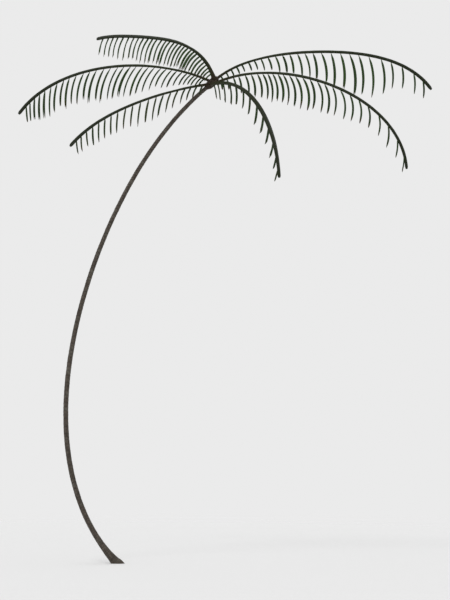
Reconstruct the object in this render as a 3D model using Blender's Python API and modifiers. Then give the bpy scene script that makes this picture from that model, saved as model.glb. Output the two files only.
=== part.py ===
"""A leaning palm tree: a bowed trunk, the crown heart on its tip, and a crown of arching fronds.

Metres, +Z up. The origin is the middle of the flat cut at ground level. The trunk bows in the XZ
plane, first out towards -X and then over towards +X, and the fronds spread round its tip.
"""

import math
import random
from collections import namedtuple

import bmesh
import bpy
from mathutils import Matrix, Vector
from mathutils.bvhtree import BVHTree

CLEARANCE = 0.0003  # between solids that meet
WELD = 0.00001
SEED = 7

# The trunk. Its leans, in degrees from upright towards +X, are at 0, 1/3, 2/3 and all of its length.
TRUNK_LENGTH = 13.15
TRUNK_LEANS = (-44.2, 2.3, 23.2, 49.7)
TRUNK_FOOT_RADIUS = 0.068
TRUNK_TIP_RADIUS = 0.050
FLARE_RADIUS = 0.062  # added to the stem at the ground
FLARE_HEIGHT = 0.36  # over which the flare shrinks to about a third
TRUNK_STEPS = 38
TRUNK_SIDES = 12
BURIED = 0.40  # how far the tube runs on below the ground before it is cut flat

# The crown heart: the bud on the trunk's tip that the frond stalks clasp.
# Its outline is given as shares of its height and of its widest radius.
HEART_HEIGHT = 0.43
HEART_RADIUS = 0.106
HEART_OUTLINE = ((0.0, 0.49), (0.2, 0.88), (0.46, 1.0), (0.7, 0.88), (0.9, 0.5))
HEART_SIDES = 16

# A frond's rib starts inside the heart and is cut to the heart's surface.
SEAT_DISTANCE = 0.055  # from the heart's axis to where a rib's middle line starts
STALK_SWELLING = 0.010  # added to the rib where it clasps the heart
STALK_SWELLING_REACH = 0.12
RIB_SIDES = 6
RIB_STEP = 0.38  # length of one straight piece of the rib's tube
SPLIT_RUN = 0.01  # a rib runs straight for this far on each side of a split
PATH_STEPS = 240  # used to find points along a rib

# Leaflets hang in two rows, one from each side of the rib.
FIRST_LEAFLET = 0.03  # shares of the rib's length
LAST_LEAFLET = 0.945
ROW_OFFSET = 0.05  # from the rib's middle line to a row's leaflets, for a spread of 1
LEAFLET_STEPS = 20
# A leaflet's sections: (step along it, share of its full width), and then its point.
LEAFLET_SECTIONS = ((0, 0.45), (4, 1.0), (14, 0.76))
LEAFLET_RIDGE = 0.013  # thickness at the fold
GAP_JITTER = 0.12  # spread of the gaps between pairs, as a share
LENGTH_JITTER = 0.07  # spread of a pair's length, as a share
LEAN_JITTER = 0.06  # spread of a pair's lean, in radians
OWN_JITTER = 0.03  # spread of length and lean between the two leaflets of a pair
TWIST = math.radians(20)
CLEAR_OF_OTHERS = 0.004  # leaflets that come nearer than this to another solid are skipped

# azimuth: degrees from +X towards +Y. seat: where the rib's middle line starts in the heart, as its
# height along the heart's axis and its bearing round it in degrees, or None for on the axis.
# rises: degrees above level at 0, 1/3, 2/3 and all of the length. rib: the rib's radius at its
# foot, half way and at its tip. pairs: pairs of leaflets. gaps: gaps between pairs at the first,
# middle and last one, as compared with each other. leaf: lengths of the leaflets, evenly spread
# along the rib. feet, ends: degrees by which the leaflets' feet and ends lean from hanging straight
# towards the frond's tip, at 0, 1/2 and all of the rib. spread: how far the feet of the two rows
# spread sideways, compared with the way they hang. width: width of the longest leaflets. bend: share
# of the length where the frond is split in two. set: fronds of one set hang over each other in the
# front view, leaflet for leaflet.
Frond = namedtuple(
    "Frond",
    "name azimuth seat length rises rib pairs gaps leaf feet ends spread width bend set",
)
FRONDS = (
    Frond(
        *("frond_upper_right", 10, (0.30, None), 5.96, (41, 7, -8, -55), (0.032, 0.034, 0.042)),
        *(26, (2.5, 3.5, 5.8), (0.13, 0.24, 0.52, 0.90, 1.22, 0.62, 0.38)),
        *((38, 26, 13), (25, -10, -8), 0.34, 0.054, 0.52, 0),
    ),
    Frond(
        *("frond_right", -14, (0.22, -12), 6.07, (25, -9, -35, -87), (0.032, 0.034, 0.036)),
        *(27, (2.9, 2.7, 6.9), (0.13, 0.66, 0.92, 0.84, 0.64, 0.54, 0.37)),
        *((25, 32, -12), (0, -21, -10), 0.34, 0.054, 0.50, 1),
    ),
    Frond(
        *("frond_lower_right_front", -60, (0.14, -75), 4.61, (8, -20, -50, -84), (0.035, 0.048, 0.042)),
        *(13, (4.3, 8.4, 7.4), (0.38, 0.52, 0.49, 0.52, 0.53, 0.42, 0.36)),
        *((46, 6, -28), (5, -30, -32), 0.15, 0.054, 0.5, 2),
    ),
    Frond(
        *("frond_lower_right_back", 60, (0.15, 80), 4.73, (10, -14, -48, -86), (0.035, 0.048, 0.042)),
        *(13, (4.3, 8.4, 7.4), (0.38, 0.52, 0.49, 0.52, 0.53, 0.42, 0.36)),
        *((46, 6, -28), (5, -30, -32), 0.15, 0.054, 0.5, 2),
    ),
    Frond(
        *("frond_upper_left_front", -128, (0.30, -128), 4.87, (64, 10, -1, -13), (0.041, 0.034, 0.026)),
        *(30, (1.9, 3.3, 4.2), (0.27, 0.68, 0.74, 0.74, 0.66, 0.58, 0.43)),
        *((80, 58, 36), (50, 9, 8), 0.10, 0.042, 0.36, 3),
    ),
    Frond(
        *("frond_upper_left_back", 128, (0.30, 128), 5.34, (64, 15, 5, -6), (0.041, 0.034, 0.026)),
        *(30, (1.9, 3.4, 4.6), (0.28, 0.71, 0.77, 0.77, 0.69, 0.60, 0.45)),
        *((80, 58, 36), (50, 9, 8), 0.10, 0.042, 0.36, 3),
    ),
    Frond(
        *("frond_left", 170, (0.20, 172), 5.32, (25, 3, -18, -54), (0.032, 0.032, 0.042)),
        *(33, (1.4, 3.4, 2.9), (0.20, 0.50, 0.88, 0.92, 0.79, 0.74, 0.26)),
        *((60, 36, -8), (28, 0, -6), 0.34, 0.050, 0.54, 4),
    ),
    Frond(
        *("frond_lower_left", -146, (0.09, -138), 4.42, (-7, -16, -25, -46), (0.032, 0.031, 0.042)),
        *(20, (3.6, 5.0, 3.8), (0.22, 0.48, 0.68, 0.61, 0.56, 0.45, 0.33)),
        *((50, 18, 0), (6, 0, -20), 0.24, 0.050, None, 5),
    ),
)

Material = namedtuple("Material", "color roughness")
BARK = Material((0.150, 0.120, 0.090), 0.85)
HEART_FIBRE = Material((0.115, 0.070, 0.035), 0.90)
FROND_GREEN = Material((0.040, 0.085, 0.022), 0.55)


def clear_scene():
    for item in list(bpy.data.objects):
        bpy.data.objects.remove(item)


def new_collection(name):
    made = bpy.data.collections.new(name)
    bpy.context.scene.collection.children.link(made)
    return made


def make_material(name, look):
    material = bpy.data.materials.new(name)
    material.use_nodes = True
    shader = material.node_tree.nodes["Principled BSDF"]
    shader.inputs["Base Color"].default_value = (*look.color, 1.0)
    shader.inputs["Roughness"].default_value = look.roughness
    shader.inputs["Metallic"].default_value = 0.0
    return material


def graded(values, share):
    """The smooth curve through values that are spread evenly from share 0 to share 1."""
    last = len(values) - 1
    total = 0.0
    for i, value in enumerate(values):
        for j in range(len(values)):
            if j != i:
                value *= (share * last - j) / (i - j)
        total += value
    return total


def broken(values, share):
    """The broken line through values that are spread evenly from share 0 to share 1."""
    place = share * (len(values) - 1)
    whole = min(int(place), len(values) - 2)
    return values[whole] + (values[whole + 1] - values[whole]) * (place - whole)


def walk(start, length, steps, heading):
    """The points of a path of that length, which heads the way that heading(share) says."""
    points = [Vector(start)]
    for i in range(steps):
        points.append(points[-1] + heading((i + 0.5) / steps) * length / steps)
    return points


def lean_vector(degrees):
    """The way up, leant that far over towards +X."""
    return Vector((math.sin(math.radians(degrees)), 0, math.cos(math.radians(degrees))))


def tube(name, points, radii, sides):
    """A round tube through the points, as a mesh object whose caps are joined to its sides."""
    curve = bpy.data.curves.new(name, "CURVE")
    curve.dimensions = "3D"
    curve.bevel_depth = 1.0
    curve.bevel_resolution = (sides - 4) // 2
    curve.use_fill_caps = True
    spline = curve.splines.new("POLY")
    spline.points.add(len(points) - 1)
    for place, point, radius in zip(spline.points, points, radii):
        place.co = (*point, 1.0)
        place.radius = radius
    guide = bpy.data.objects.new(name + "_guide", curve)
    bpy.context.scene.collection.objects.link(guide)
    graph = bpy.context.evaluated_depsgraph_get()
    mesh = bpy.data.meshes.new_from_object(guide.evaluated_get(graph))
    made = bpy.data.objects.new(name, mesh)
    made.matrix_world = guide.matrix_world
    bpy.data.objects.remove(guide)
    shape = bmesh.new()
    shape.from_mesh(mesh)
    bmesh.ops.remove_doubles(shape, verts=shape.verts, dist=WELD)
    bmesh.ops.recalc_face_normals(shape, faces=shape.faces)
    shape.to_mesh(mesh)
    shape.free()
    return made


def apply_boolean(target, operation, helpers, collection):
    """Joins the helpers to the target, or cuts them from it, in one step, and removes them."""
    for helper in helpers:
        collection.objects.link(helper)
    modifier = target.modifiers.new("join_or_cut", "BOOLEAN")
    modifier.operation = operation
    modifier.operand_type = "COLLECTION"
    modifier.collection = collection
    graph = bpy.context.evaluated_depsgraph_get()
    mesh = bpy.data.meshes.new_from_object(target.evaluated_get(graph))
    target.modifiers.clear()
    target.data = mesh
    for helper in helpers:
        bpy.data.objects.remove(helper)


def finish(item, material, smooth_angle):
    item.data.materials.clear()
    item.data.materials.append(material)
    item.data.shade_smooth()
    item.data.set_sharp_from_angle(angle=math.radians(smooth_angle))


def search_tree(item, placing):
    """A search tree of the object's faces, placed by that matrix."""
    corners = [placing @ vertex.co for vertex in item.data.vertices]
    return BVHTree.FromPolygons(corners, [face.vertices for face in item.data.polygons])


# The trunk


def trunk_path():
    return walk((0, 0, 0), TRUNK_LENGTH, TRUNK_STEPS, lambda share: lean_vector(graded(TRUNK_LEANS, share)))


def trunk_radius(height_along):
    """The stem's own taper, and the flare that dies away above the ground."""
    share = height_along / TRUNK_LENGTH
    stem = TRUNK_FOOT_RADIUS + (TRUNK_TIP_RADIUS - TRUNK_FOOT_RADIUS) * share
    return stem + FLARE_RADIUS * math.exp(-height_along / FLARE_HEIGHT)


def make_trunk(parts, cutters, material):
    points = trunk_path()
    step = TRUNK_LENGTH / TRUNK_STEPS
    radii = [trunk_radius(i * step) for i in range(len(points))]
    # Two more points near the foot follow the flare, and one lies below the ground.
    foot_way = lean_vector(TRUNK_LEANS[0])
    for height_along in (step / 2, step / 4):
        points.insert(1, foot_way * height_along)
        radii.insert(1, trunk_radius(height_along))
    points.insert(0, -foot_way * BURIED)
    radii.insert(0, radii[0])
    trunk = tube("trunk", points, radii, TRUNK_SIDES)
    parts.objects.link(trunk)
    size = 2 * BURIED + 4 * FLARE_RADIUS
    shape = bmesh.new()
    bmesh.ops.create_cube(shape, size=size, matrix=Matrix.Translation((0, 0, -size / 2)))
    mesh = bpy.data.meshes.new("ground_cutter")
    shape.to_mesh(mesh)
    shape.free()
    ground = bpy.data.objects.new("ground_cutter", mesh)
    apply_boolean(trunk, "DIFFERENCE", [ground], cutters)
    finish(trunk, material, 40)
    return trunk


def trunk_space():
    """The end of the trunk, made larger all over by the clearance."""
    step = TRUNK_LENGTH / TRUNK_STEPS
    points = trunk_path()[-3:]
    points[-1] += (points[-1] - points[-2]).normalized() * CLEARANCE
    radii = [trunk_radius(TRUNK_LENGTH - back * step) + CLEARANCE for back in (2, 1, 0)]
    return tube("trunk_space", points, radii, TRUNK_SIDES)


# The crown heart


def tip_lean():
    """The lean of the trunk's last straight piece, whose flat end the heart stands on."""
    return graded(TRUNK_LEANS, 1 - 0.5 / TRUNK_STEPS)


def heart_place():
    """Where the heart's own frame stands: just clear of the trunk's tip, leant as the tip is."""
    foot = trunk_path()[-1] + lean_vector(tip_lean()) * CLEARANCE
    return Matrix.Translation(foot) @ Matrix.Rotation(math.radians(tip_lean()), 4, "Y")


def turned_heart(name, grow):
    """The heart as a turned shape, made larger on every side by grow."""
    mesh = bpy.data.meshes.new(name)
    item = bpy.data.objects.new(name, mesh)
    shape = bmesh.new()
    outline = [(0.0, -grow)]
    for high, wide in HEART_OUTLINE:
        lift = grow if high > 0.5 else -grow
        outline.append((HEART_RADIUS * wide + grow, HEART_HEIGHT * high + lift))
    outline.append((0.0, HEART_HEIGHT + grow))
    corners = [shape.verts.new((radius, 0, height)) for radius, height in reversed(outline)]
    for first, second in zip(corners, corners[1:]):
        shape.edges.new((first, second))
    shape.to_mesh(mesh)
    shape.free()
    turn = item.modifiers.new("turn", "SCREW")
    turn.axis = "Z"
    turn.steps = turn.render_steps = HEART_SIDES
    turn.use_merge_vertices = True
    turn.merge_threshold = WELD
    item.matrix_world = heart_place()
    return item


def make_heart(parts, material):
    heart = turned_heart("crown_heart", 0.0)
    parts.objects.link(heart)
    heart.data.materials.append(material)
    return heart


# The fronds


def rib_heading(frond):
    """The rib's heading in the frond's own frame, whose +X is the frond's azimuth."""

    def heading(share):
        rise = math.radians(graded(frond.rises, share))
        return Vector((math.cos(rise), 0, math.sin(rise)))

    return heading


def frond_place(frond):
    """Where the frond's own frame stands: at its seat in the heart, turned to its azimuth."""
    height, bearing = frond.seat
    seat = Vector((0, 0, height))
    if bearing is not None:
        seat += Matrix.Rotation(math.radians(bearing), 3, "Z") @ Vector((SEAT_DISTANCE, 0, 0))
    turn = Matrix.Rotation(math.radians(frond.azimuth), 4, "Z")
    return Matrix.Translation(heart_place() @ seat) @ turn


def rib_radius(frond, share):
    swelling = STALK_SWELLING * math.exp(-share * frond.length / STALK_SWELLING_REACH)
    return graded(frond.rib, share) + swelling


def along(points, share):
    """The point at that share of an evenly stepped path."""
    last = len(points) - 1
    whole = min(int(share * last), last - 1)
    return points[whole].lerp(points[whole + 1], share * last - whole)


def make_rib(frond, name, path, start, end):
    """The rib's tube between two shares of its length, at the frond's own place."""
    steps = max(2, round((end - start) * frond.length / RIB_STEP))
    shares = [start + (end - start) * i / steps for i in range(steps + 1)]
    points = [along(path, share) for share in shares]
    radii = [rib_radius(frond, share) for share in shares]
    # A piece ends at the bend with a short run square to the split, so that both faces are parallel.
    if start > 0.0:
        points.insert(1, points[0] + rib_heading(frond)(start) * SPLIT_RUN)
        radii.insert(1, radii[0])
    if end < 1.0:
        points.insert(-1, points[-1] - rib_heading(frond)(end) * SPLIT_RUN)
        radii.insert(-1, radii[-1])
    rib = tube(name, points, radii, RIB_SIDES)
    rib.matrix_world = frond_place(frond)
    return rib


def leaflet_shares(frond, chance):
    """Where the pairs stand on the rib, as shares of its length."""
    last = frond.pairs - 1
    gaps = [graded(frond.gaps, (i + 0.5) / last) for i in range(last)]
    gaps = [gap * (1 + chance.uniform(-GAP_JITTER, GAP_JITTER)) for gap in gaps]
    shares = [FIRST_LEAFLET]
    for gap in gaps:
        shares.append(shares[-1] + (LAST_LEAFLET - FIRST_LEAFLET) * gap / sum(gaps))
    return shares


def row_lean(frond, side, middle):
    """How much further forward the row on that side leans, so that both hang alike from the front."""
    return side * frond.spread * math.tan(math.radians(frond.azimuth)) * math.cos(middle)


def leaflet_spine(frond, path, share, side, lean, length):
    """The points of a leaflet that leaves the rib on that side, leant further forward by lean."""
    foot = math.radians(graded(frond.feet, share))
    end = math.radians(graded(frond.ends, share))
    foot += row_lean(frond, side, (foot + end) / 2) + lean

    def heading(part):
        angle = foot + (end - foot) * part
        return Vector((math.sin(angle), side * frond.spread * (1 - part), -math.cos(angle))).normalized()

    start = along(path, share) + Vector((0, side * ROW_OFFSET * frond.spread, 0))
    return walk(start, length, LEAFLET_STEPS, heading)


def loft(name, rings, tip):
    """A closed skin over rings of equal count that ends in one point."""
    mesh = bpy.data.meshes.new(name)
    shape = bmesh.new()
    rows = [[shape.verts.new(corner) for corner in ring] for ring in rings]
    shape.faces.new(rows[0])
    sides = len(rows[0])
    for row, following in zip(rows, rows[1:]):
        for i in range(sides):
            j = (i + 1) % sides
            shape.faces.new((row[i], row[j], following[j], following[i]))
    point = shape.verts.new(tip)
    for i in range(sides):
        shape.faces.new((rows[-1][i], rows[-1][(i + 1) % sides], point))
    bmesh.ops.recalc_face_normals(shape, faces=shape.faces)
    bmesh.ops.triangulate(shape, faces=shape.faces)
    shape.to_mesh(mesh)
    shape.free()
    return bpy.data.objects.new(name, mesh)


def leaflet_blade(name, spine, rib_way, side, twist, width, fatten):
    """A blade round the spine, flat towards the other row and ridged on its outer side."""
    rings = []
    for step, width_share in LEAFLET_SECTIONS:
        way = (spine[step + 1] - spine[step]).normalized()
        across = (rib_way - way * rib_way.dot(way)).normalized()
        ridge = way.cross(across)
        if ridge.y * side < 0:
            ridge.negate()
        turn = Matrix.Rotation(twist * step / LEAFLET_STEPS, 3, way)
        across, ridge = turn @ across, turn @ ridge
        half = (width * width_share + fatten) / 2
        middle = spine[step] - ridge * (LEAFLET_RIDGE + fatten) / 3
        peak = middle + ridge * (LEAFLET_RIDGE + fatten)
        rings.append((middle - across * half, middle + across * half, peak))
    return loft(name, rings, spine[-1])


def leaflets_of(frond, index, path):
    """(share, blade, fattened blade) of each leaflet, from the rib's foot to its tip."""
    shared = random.Random(SEED * 10 + frond.set)
    own = random.Random(SEED * 100 + index)
    for i, share in enumerate(leaflet_shares(frond, shared)):
        pair_length = broken(frond.leaf, share) * (1 + shared.uniform(-LENGTH_JITTER, LENGTH_JITTER))
        pair_lean = shared.uniform(-LEAN_JITTER, LEAN_JITTER)
        for side in (1, -1):
            length = pair_length * (1 + own.uniform(-OWN_JITTER, OWN_JITTER))
            lean = pair_lean + own.uniform(-OWN_JITTER, OWN_JITTER)
            twist = own.uniform(-TWIST, TWIST)
            spine = leaflet_spine(frond, path, share, side, lean, length)
            rib_way = rib_heading(frond)(share)
            width = frond.width * (0.75 + 0.25 * length / max(frond.leaf))
            blades = [
                leaflet_blade(f"leaflet_{i}_{side}", spine, rib_way, side, twist, width, fatten)
                for fatten in (0.0, CLEAR_OF_OTHERS)
            ]
            yield share, *blades


def spans_of(frond):
    """(node name, start, end) of the pieces that the frond is made in, as shares of its length."""
    if frond.bend is None:
        return [(frond.name, 0.0, 1.0)]
    gap = CLEARANCE / frond.length / 2
    return [
        (frond.name + "_inner", 0.0, frond.bend - gap),
        (frond.name + "_outer", frond.bend + gap, 1.0),
    ]


def make_fronds(parts, cutters, leaflets, material, obstacles):
    """Every rib first, and then the leaflets, which keep clear of all solids but their own rib's."""
    ribs = {}
    solids = dict(obstacles)
    for frond in FRONDS:
        path = walk((0, 0, 0), frond.length, PATH_STEPS, rib_heading(frond))
        for name, start, end in spans_of(frond):
            rib = make_rib(frond, name, path, start, end)
            parts.objects.link(rib)
            if start == 0.0:
                apply_boolean(rib, "DIFFERENCE", [turned_heart("seat", CLEARANCE), trunk_space()], cutters)
            ribs[name] = rib
            solids[name] = [search_tree(rib, frond_place(frond))]
    for index, frond in enumerate(FRONDS):
        path = walk((0, 0, 0), frond.length, PATH_STEPS, rib_heading(frond))
        kept = {name: [] for name, _, _ in spans_of(frond)}
        for share, blade, fat_blade in leaflets_of(frond, index, path):
            name = next(name for name, _, end in spans_of(frond) if share <= end)
            space = search_tree(fat_blade, frond_place(frond))
            bpy.data.objects.remove(fat_blade)
            others = [tree for owner, trees in solids.items() if owner != name for tree in trees]
            if any(space.overlap(tree) for tree in others):
                bpy.data.objects.remove(blade)
                continue
            blade.matrix_world = frond_place(frond)
            kept[name].append(blade)
            solids[name].append(space)
        for name, blades in kept.items():
            apply_boolean(ribs[name], "UNION", blades, leaflets)
            finish(ribs[name], material, 30)
    return ribs


def main():
    clear_scene()
    parts = new_collection("palm_tree")
    cutters = new_collection("cutters")
    leaflets = new_collection("leaflets")
    trunk = make_trunk(parts, cutters, make_material("bark", BARK))
    heart = make_heart(parts, make_material("heart_fibre", HEART_FIBRE))
    heart_ends = [Vector((0, 0, 0)), Vector((0, 0, HEART_HEIGHT))]
    heart_space = tube("heart_space", heart_ends, [HEART_RADIUS] * 2, HEART_SIDES)
    obstacles = {
        "trunk": [search_tree(trunk, Matrix.Identity(4))],
        "crown_heart": [search_tree(heart_space, heart_place())],
    }
    bpy.data.objects.remove(heart_space)
    green = make_material("frond_green", FROND_GREEN)
    ribs = make_fronds(parts, cutters, leaflets, green, obstacles)
    tree = bpy.data.objects.new("palm", None)
    parts.objects.link(tree)
    for item in (trunk, heart, *ribs.values()):
        item.parent = tree
    for emptied in (cutters, leaflets):
        bpy.data.collections.remove(emptied)


main()
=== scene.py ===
"""A leaning coconut palm: bark, fibre, ribs and leaflets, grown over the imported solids.

Metres, +Z up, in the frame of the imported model. The plant grows by the same rule as its solids do,
with thin folded blades for its leaflets, and with the relief of the bark, the fibre and the ribs.
"""

import math
import random
from collections import namedtuple

import bmesh
import bpy
from mathutils import Matrix, Vector, noise
from mathutils.bvhtree import BVHTree


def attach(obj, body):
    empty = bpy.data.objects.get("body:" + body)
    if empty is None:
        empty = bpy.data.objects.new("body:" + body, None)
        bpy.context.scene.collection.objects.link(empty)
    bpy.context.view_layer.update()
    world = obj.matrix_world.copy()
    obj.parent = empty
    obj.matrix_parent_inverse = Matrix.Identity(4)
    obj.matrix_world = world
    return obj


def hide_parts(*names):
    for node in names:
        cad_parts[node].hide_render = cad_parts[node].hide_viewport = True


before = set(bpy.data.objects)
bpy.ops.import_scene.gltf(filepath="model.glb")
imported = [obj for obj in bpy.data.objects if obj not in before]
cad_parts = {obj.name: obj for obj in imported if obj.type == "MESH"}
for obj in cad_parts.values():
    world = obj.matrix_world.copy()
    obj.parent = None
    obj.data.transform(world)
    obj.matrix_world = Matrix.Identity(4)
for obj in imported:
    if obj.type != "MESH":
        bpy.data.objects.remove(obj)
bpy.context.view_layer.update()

SEED = 7
SET_SEED = 70  # with the number of a set of fronds added
FROND_SEED = 700  # with the number of a frond added

# The photograph: its size in pixels, its scale, and the pixel where the trunk leaves the ground
IMAGE_WIDTH = 450
IMAGE_HEIGHT = 600
PIXELS_PER_METRE = 40
FOOT_PIXEL = (117.3, 563.4)
CAMERA_DISTANCE = 100.0
CLIP_DISTANCE = 400.0
SENSOR = 36.0  # millimetres

# Stage and light
PAPER_LIGHT = 0.83  # brightness of the world
FLOOR_TONE = 0.76
FLOOR_RADIUS = 30.0
FLOOR_SIDES = 96
FLOOR_DROP = 0.002  # how far the floor lies below the trunk's cut
FLOOR_ROUGHNESS = 0.9
FLOOR_FADE = (7.0, 26.0)  # the floor melts into the world between these radii
SUN_STRENGTH = 1.0
SUN_SIZE = math.radians(16)
SUN_TURN = (math.radians(38), math.radians(8), math.radians(-35))

# The trunk, by the rule of its solid
TRUNK_LENGTH = 13.15
TRUNK_LEANS = (-44.2, 2.3, 23.2, 49.7)  # degrees towards +X at 0, 1/3, 2/3 and all of the way up
TRUNK_FOOT_RADIUS = 0.068
TRUNK_TIP_RADIUS = 0.050
FLARE_RADIUS = 0.062  # what the flare adds at the ground
FLARE_HEIGHT = 0.36  # the height over which it dies away
TRUNK_STEPS = 38
FINER = 8  # the middle line that the bark follows has that many times the steps
BURIED = 0.40  # the bark starts this far below the ground, where it is then cut off
CLEARANCE = 0.0003  # between the trunk's tip and the heart

# Relief of the bark
BARK_SIDES = 60
SCAR_SPACING = (0.058, 0.098, 0.045)  # between leaf scars at the foot, half way up and at the tip
SCAR_SPREAD = 0.22  # how much the spacing varies
SCAR_TILT = 0.011  # the most that a scar's high side rises above its middle
SCAR_TILTS = (0.3, 1.0)  # shares of that tilt that scars have
SCAR_BEARING = 137.5  # degrees from the side that one scar tilts to, to that of the next
SCAR_RELIEF = 0.0042
SCAR_RELIEFS = (0.7, 1.2)  # shares of that relief that scars have
SCAR_FADE = 0.6  # the share of the relief that is lost at the foot
PAINTED_SHADE_FADE = 0.5  # the share of the painted shade that is lost there
# One ring of bark from scar to scar: (share of the way up, share of the relief, painted shade, which is
# deepest in the scar's groove)
SCAR_OUTLINE = (
    (0.00, -1.0, 1.0),
    (0.07, -0.5, 0.75),
    (0.24, -0.1, 0.25),
    (0.50, 0.1, 0.05),
    (0.74, 0.4, 0.0),
    (0.88, 0.9, 0.0),
    (0.96, 1.0, 0.15),
)
# painted shade on the trunk's top ring, where it meets the heart
TIP_PAINTED_SHADE = 0.5
# The scars are worn unevenly: the share that is left, its swing, and how often it changes
WEAR_MEAN = 0.75
WEAR_SWING = 0.5
WEAR_PER_METRE = 16
LUMP = 0.0030
LUMP_SIZE = 0.16
CRACKS = 420
CRACK_DEPTH = 0.0028
CRACK_DEPTHS = (0.4, 1.0)  # shares of that depth that cracks have
CRACK_RINGS = (6, 30)  # the fewest and the most rings of the mesh that a crack runs over
CRACK_WANDER = 0.08  # the chance that a crack steps aside from one ring to the next
ROOT_RIDGES = 13
ROOT_RIDGE = 0.009
ROOT_RIDGE_HEIGHT = 0.16
ROOT_RIDGE_MEAN = 0.6
ROOT_RIDGE_WANDER = 3  # how far the ridges leave their even spacing, in radians of their wave
ROOT_WANDER_PER_METRE = 5

# The crown heart
HEART_HEIGHT = 0.43
HEART_RADIUS = 0.106
# Its outline, as (share of the height, share of the radius)
HEART_OUTLINE = ((0.0, 0.49), (0.2, 0.88), (0.46, 1.0), (0.7, 0.88), (0.9, 0.5), (1.0, 0.06))
HEART_SIDES = 96
HEART_RINGS = 70
WEAVE_TURNS = 22  # waves of the weave round the heart
WEAVE_PITCH = 0.10
WEAVE_RISES = 3  # its waves up one pitch
WEAVE_RELIEF = 0.0016
WRAPS = 5  # edges of wraps on the way up the heart
WRAPS_ROUND = 2  # edges of wraps on the way round it
WRAP_EDGE = 0.006
HEART_LUMP = 0.003
HEART_LUMPS_ROUND = 2  # how close the lumps lie round the heart, and up it
HEART_LUMPS_UP = 12
FULL_RELIEF_RADIUS = 0.05  # nearer the axis than this, the relief fades

# The loose threads: where they start up the heart, how far they run and how they slant
STRANDS = 230
STRAND_RADIUS = 0.0011
STRAND_STEPS = 9
STRAND_STARTS = (0.02, 0.75)
STRAND_RUNS = (0.08, 0.20)
STRAND_SLANTS = (0.5, 1.1)
STRAND_LIFTS = (0.0, 0.0, 0.0, 0.03)  # how far the free end stands off
STRAND_TOP = 0.96
STRAND_GIRTH = 0.45  # a thread's slant is measured on the girth at this share of the height
STRAND_THINNING = 0.5  # the share of its thickness that a thread loses

# The fronds, by the rule of their solids
SEAT_DISTANCE = 0.055  # of a seat from the heart's axis, where it isn't on it
STALK_SWELLING = 0.010  # how much thicker the rib is at the heart
STALK_SWELLING_REACH = 0.12  # the length over which that dies away
PATH_STEPS = 240
FIRST_LEAFLET = 0.03
LAST_LEAFLET = 0.945
ROW_OFFSET = 0.05  # from the rib's middle line to a row's leaflets, for a spread of 1
LEAFLET_STEPS = 24
# The seeded spread of gaps, lengths and leans, and of what one leaflet adds to its pair's
GAP_JITTER = 0.12
LENGTH_JITTER = 0.07
LEAN_JITTER = 0.06
OWN_JITTER = 0.03
TWIST = math.radians(20)  # the most that a blade turns from foot to tip

# The rib's section: channelled on top near the heart, ridged further out
RIB_STEP = 0.03
RIB_TOP_POINTS = 9
RIB_UNDER_POINTS = 7
RIB_HEIGHT = 1.06
# Where the channel's floor lies and how far its sides rise, in heights of the rib
CHANNEL_FLOOR = 0.50
CHANNEL_RISE = 0.85
CHANNEL_EDGE = 6  # the power with which the sides then drop to the rib's edge
CHANNEL_END = 0.10  # from this share of the rib on the channel fills up
RIDGE_START = 0.38  # and from this one on a ridge stands in its place
RIDGE_POWER = 0.8
RIB_GRAIN = 0.05  # how uneven the rib is, as a share of its thickness
GRAIN_ACROSS = 60  # how close the unevenness lies, to the metre, across the rib and along it
GRAIN_ALONG = 6
SHEATH_WIDTH = 0.026  # what the sheath adds to each side at the heart
SHEATH_REACH = 0.13  # the length over which it dies away
TIP_THINNING = 0.99  # from this share of the rib on it rounds off to its blunt end
TIP_SHARE = 0.6  # the share of its thickness that is left there

# The leaflet's blade, and the shares of its length at which its sections stand
BLADE_SECTIONS = (
    0.0, 0.03, 0.06, 0.095, 0.14, 0.2, 0.27, 0.35,
    0.44, 0.53, 0.62, 0.71, 0.79, 0.86, 0.92, 0.965,
)
BLADE_THICKNESS = 0.0014
BLADE_FOOT_THICKNESS = 0.011  # what the foot adds
BLADE_FOOT_REACH = 0.055  # the length over which that dies away
FOOT_WIDTH = 0.5  # the foot's width, as a share of the widest
FULL_WIDTH_START = 0.16
TAPER_START = 0.4
TAPER_POWER = 7
SHORTEST_WIDTH = 0.75  # width that a leaflet of no length would have, as compared with the longest
HEADING_REACH = 0.02  # the way at a place on the spine is taken between places this far to both sides
# The section's points between midrib and edge: how far out, and how high, in blade thicknesses
BETWEEN_OUT = 0.55
BETWEEN_TOP = 0.3
BETWEEN_BOTTOM = 0.6
# The heights of its points beside the midrib, in blade thicknesses
BESIDE_TOP = 0.4
BESIDE_BOTTOM = 0.7
MIDRIB_HALF = 0.0026
MIDRIB_SHARE = 0.4  # the most of a half blade that the midrib takes up
MIDRIB_HEIGHT = 0.0020
MIDRIB_BELOW = 0.7  # its height below the blade, as compared with above
MIDRIB_FADE = 0.008  # where half the blade is narrower than this, the midrib is lower
# How far each half hangs from flat, and between which shares of the length it opens and shuts
FOLD_AT_FOOT = math.radians(64)
FOLD_OPEN = math.radians(17)
FOLD_AT_TIP = math.radians(34)
FOLD_OPENS = (0.02, 0.24)
FOLD_SHUTS = (0.5, 1.0)
EDGES_AND_MIDRIB = (0, 3, 6, 9)  # numbers of the section's points there
TRIES = 5  # times that a leaflet is drawn before it stays off
CLEAR_OF_OTHERS = 0.003  # how much a blade is grown for the test whether it meets another frond

# How leaflets are dealt their colours
AGE_SHIFT = 0.8  # how far through the greens the oldest frond starts
TONE_SPREAD = (0.4, 0.9)  # mean and spread of a leaflet's own shift
DRY_ROWS = (0, 0, 1, 1, 2)  # rows of faces at the tip that may be dry
OLD_DRY_ROWS = 2  # the most that age adds to them
FOOT_ROWS = 2  # rows of faces at the foot with its own colour
MIDRIB_COLUMNS = (2, 3, 8, 9)  # numbers of the faces beside the midrib, above and below

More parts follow.
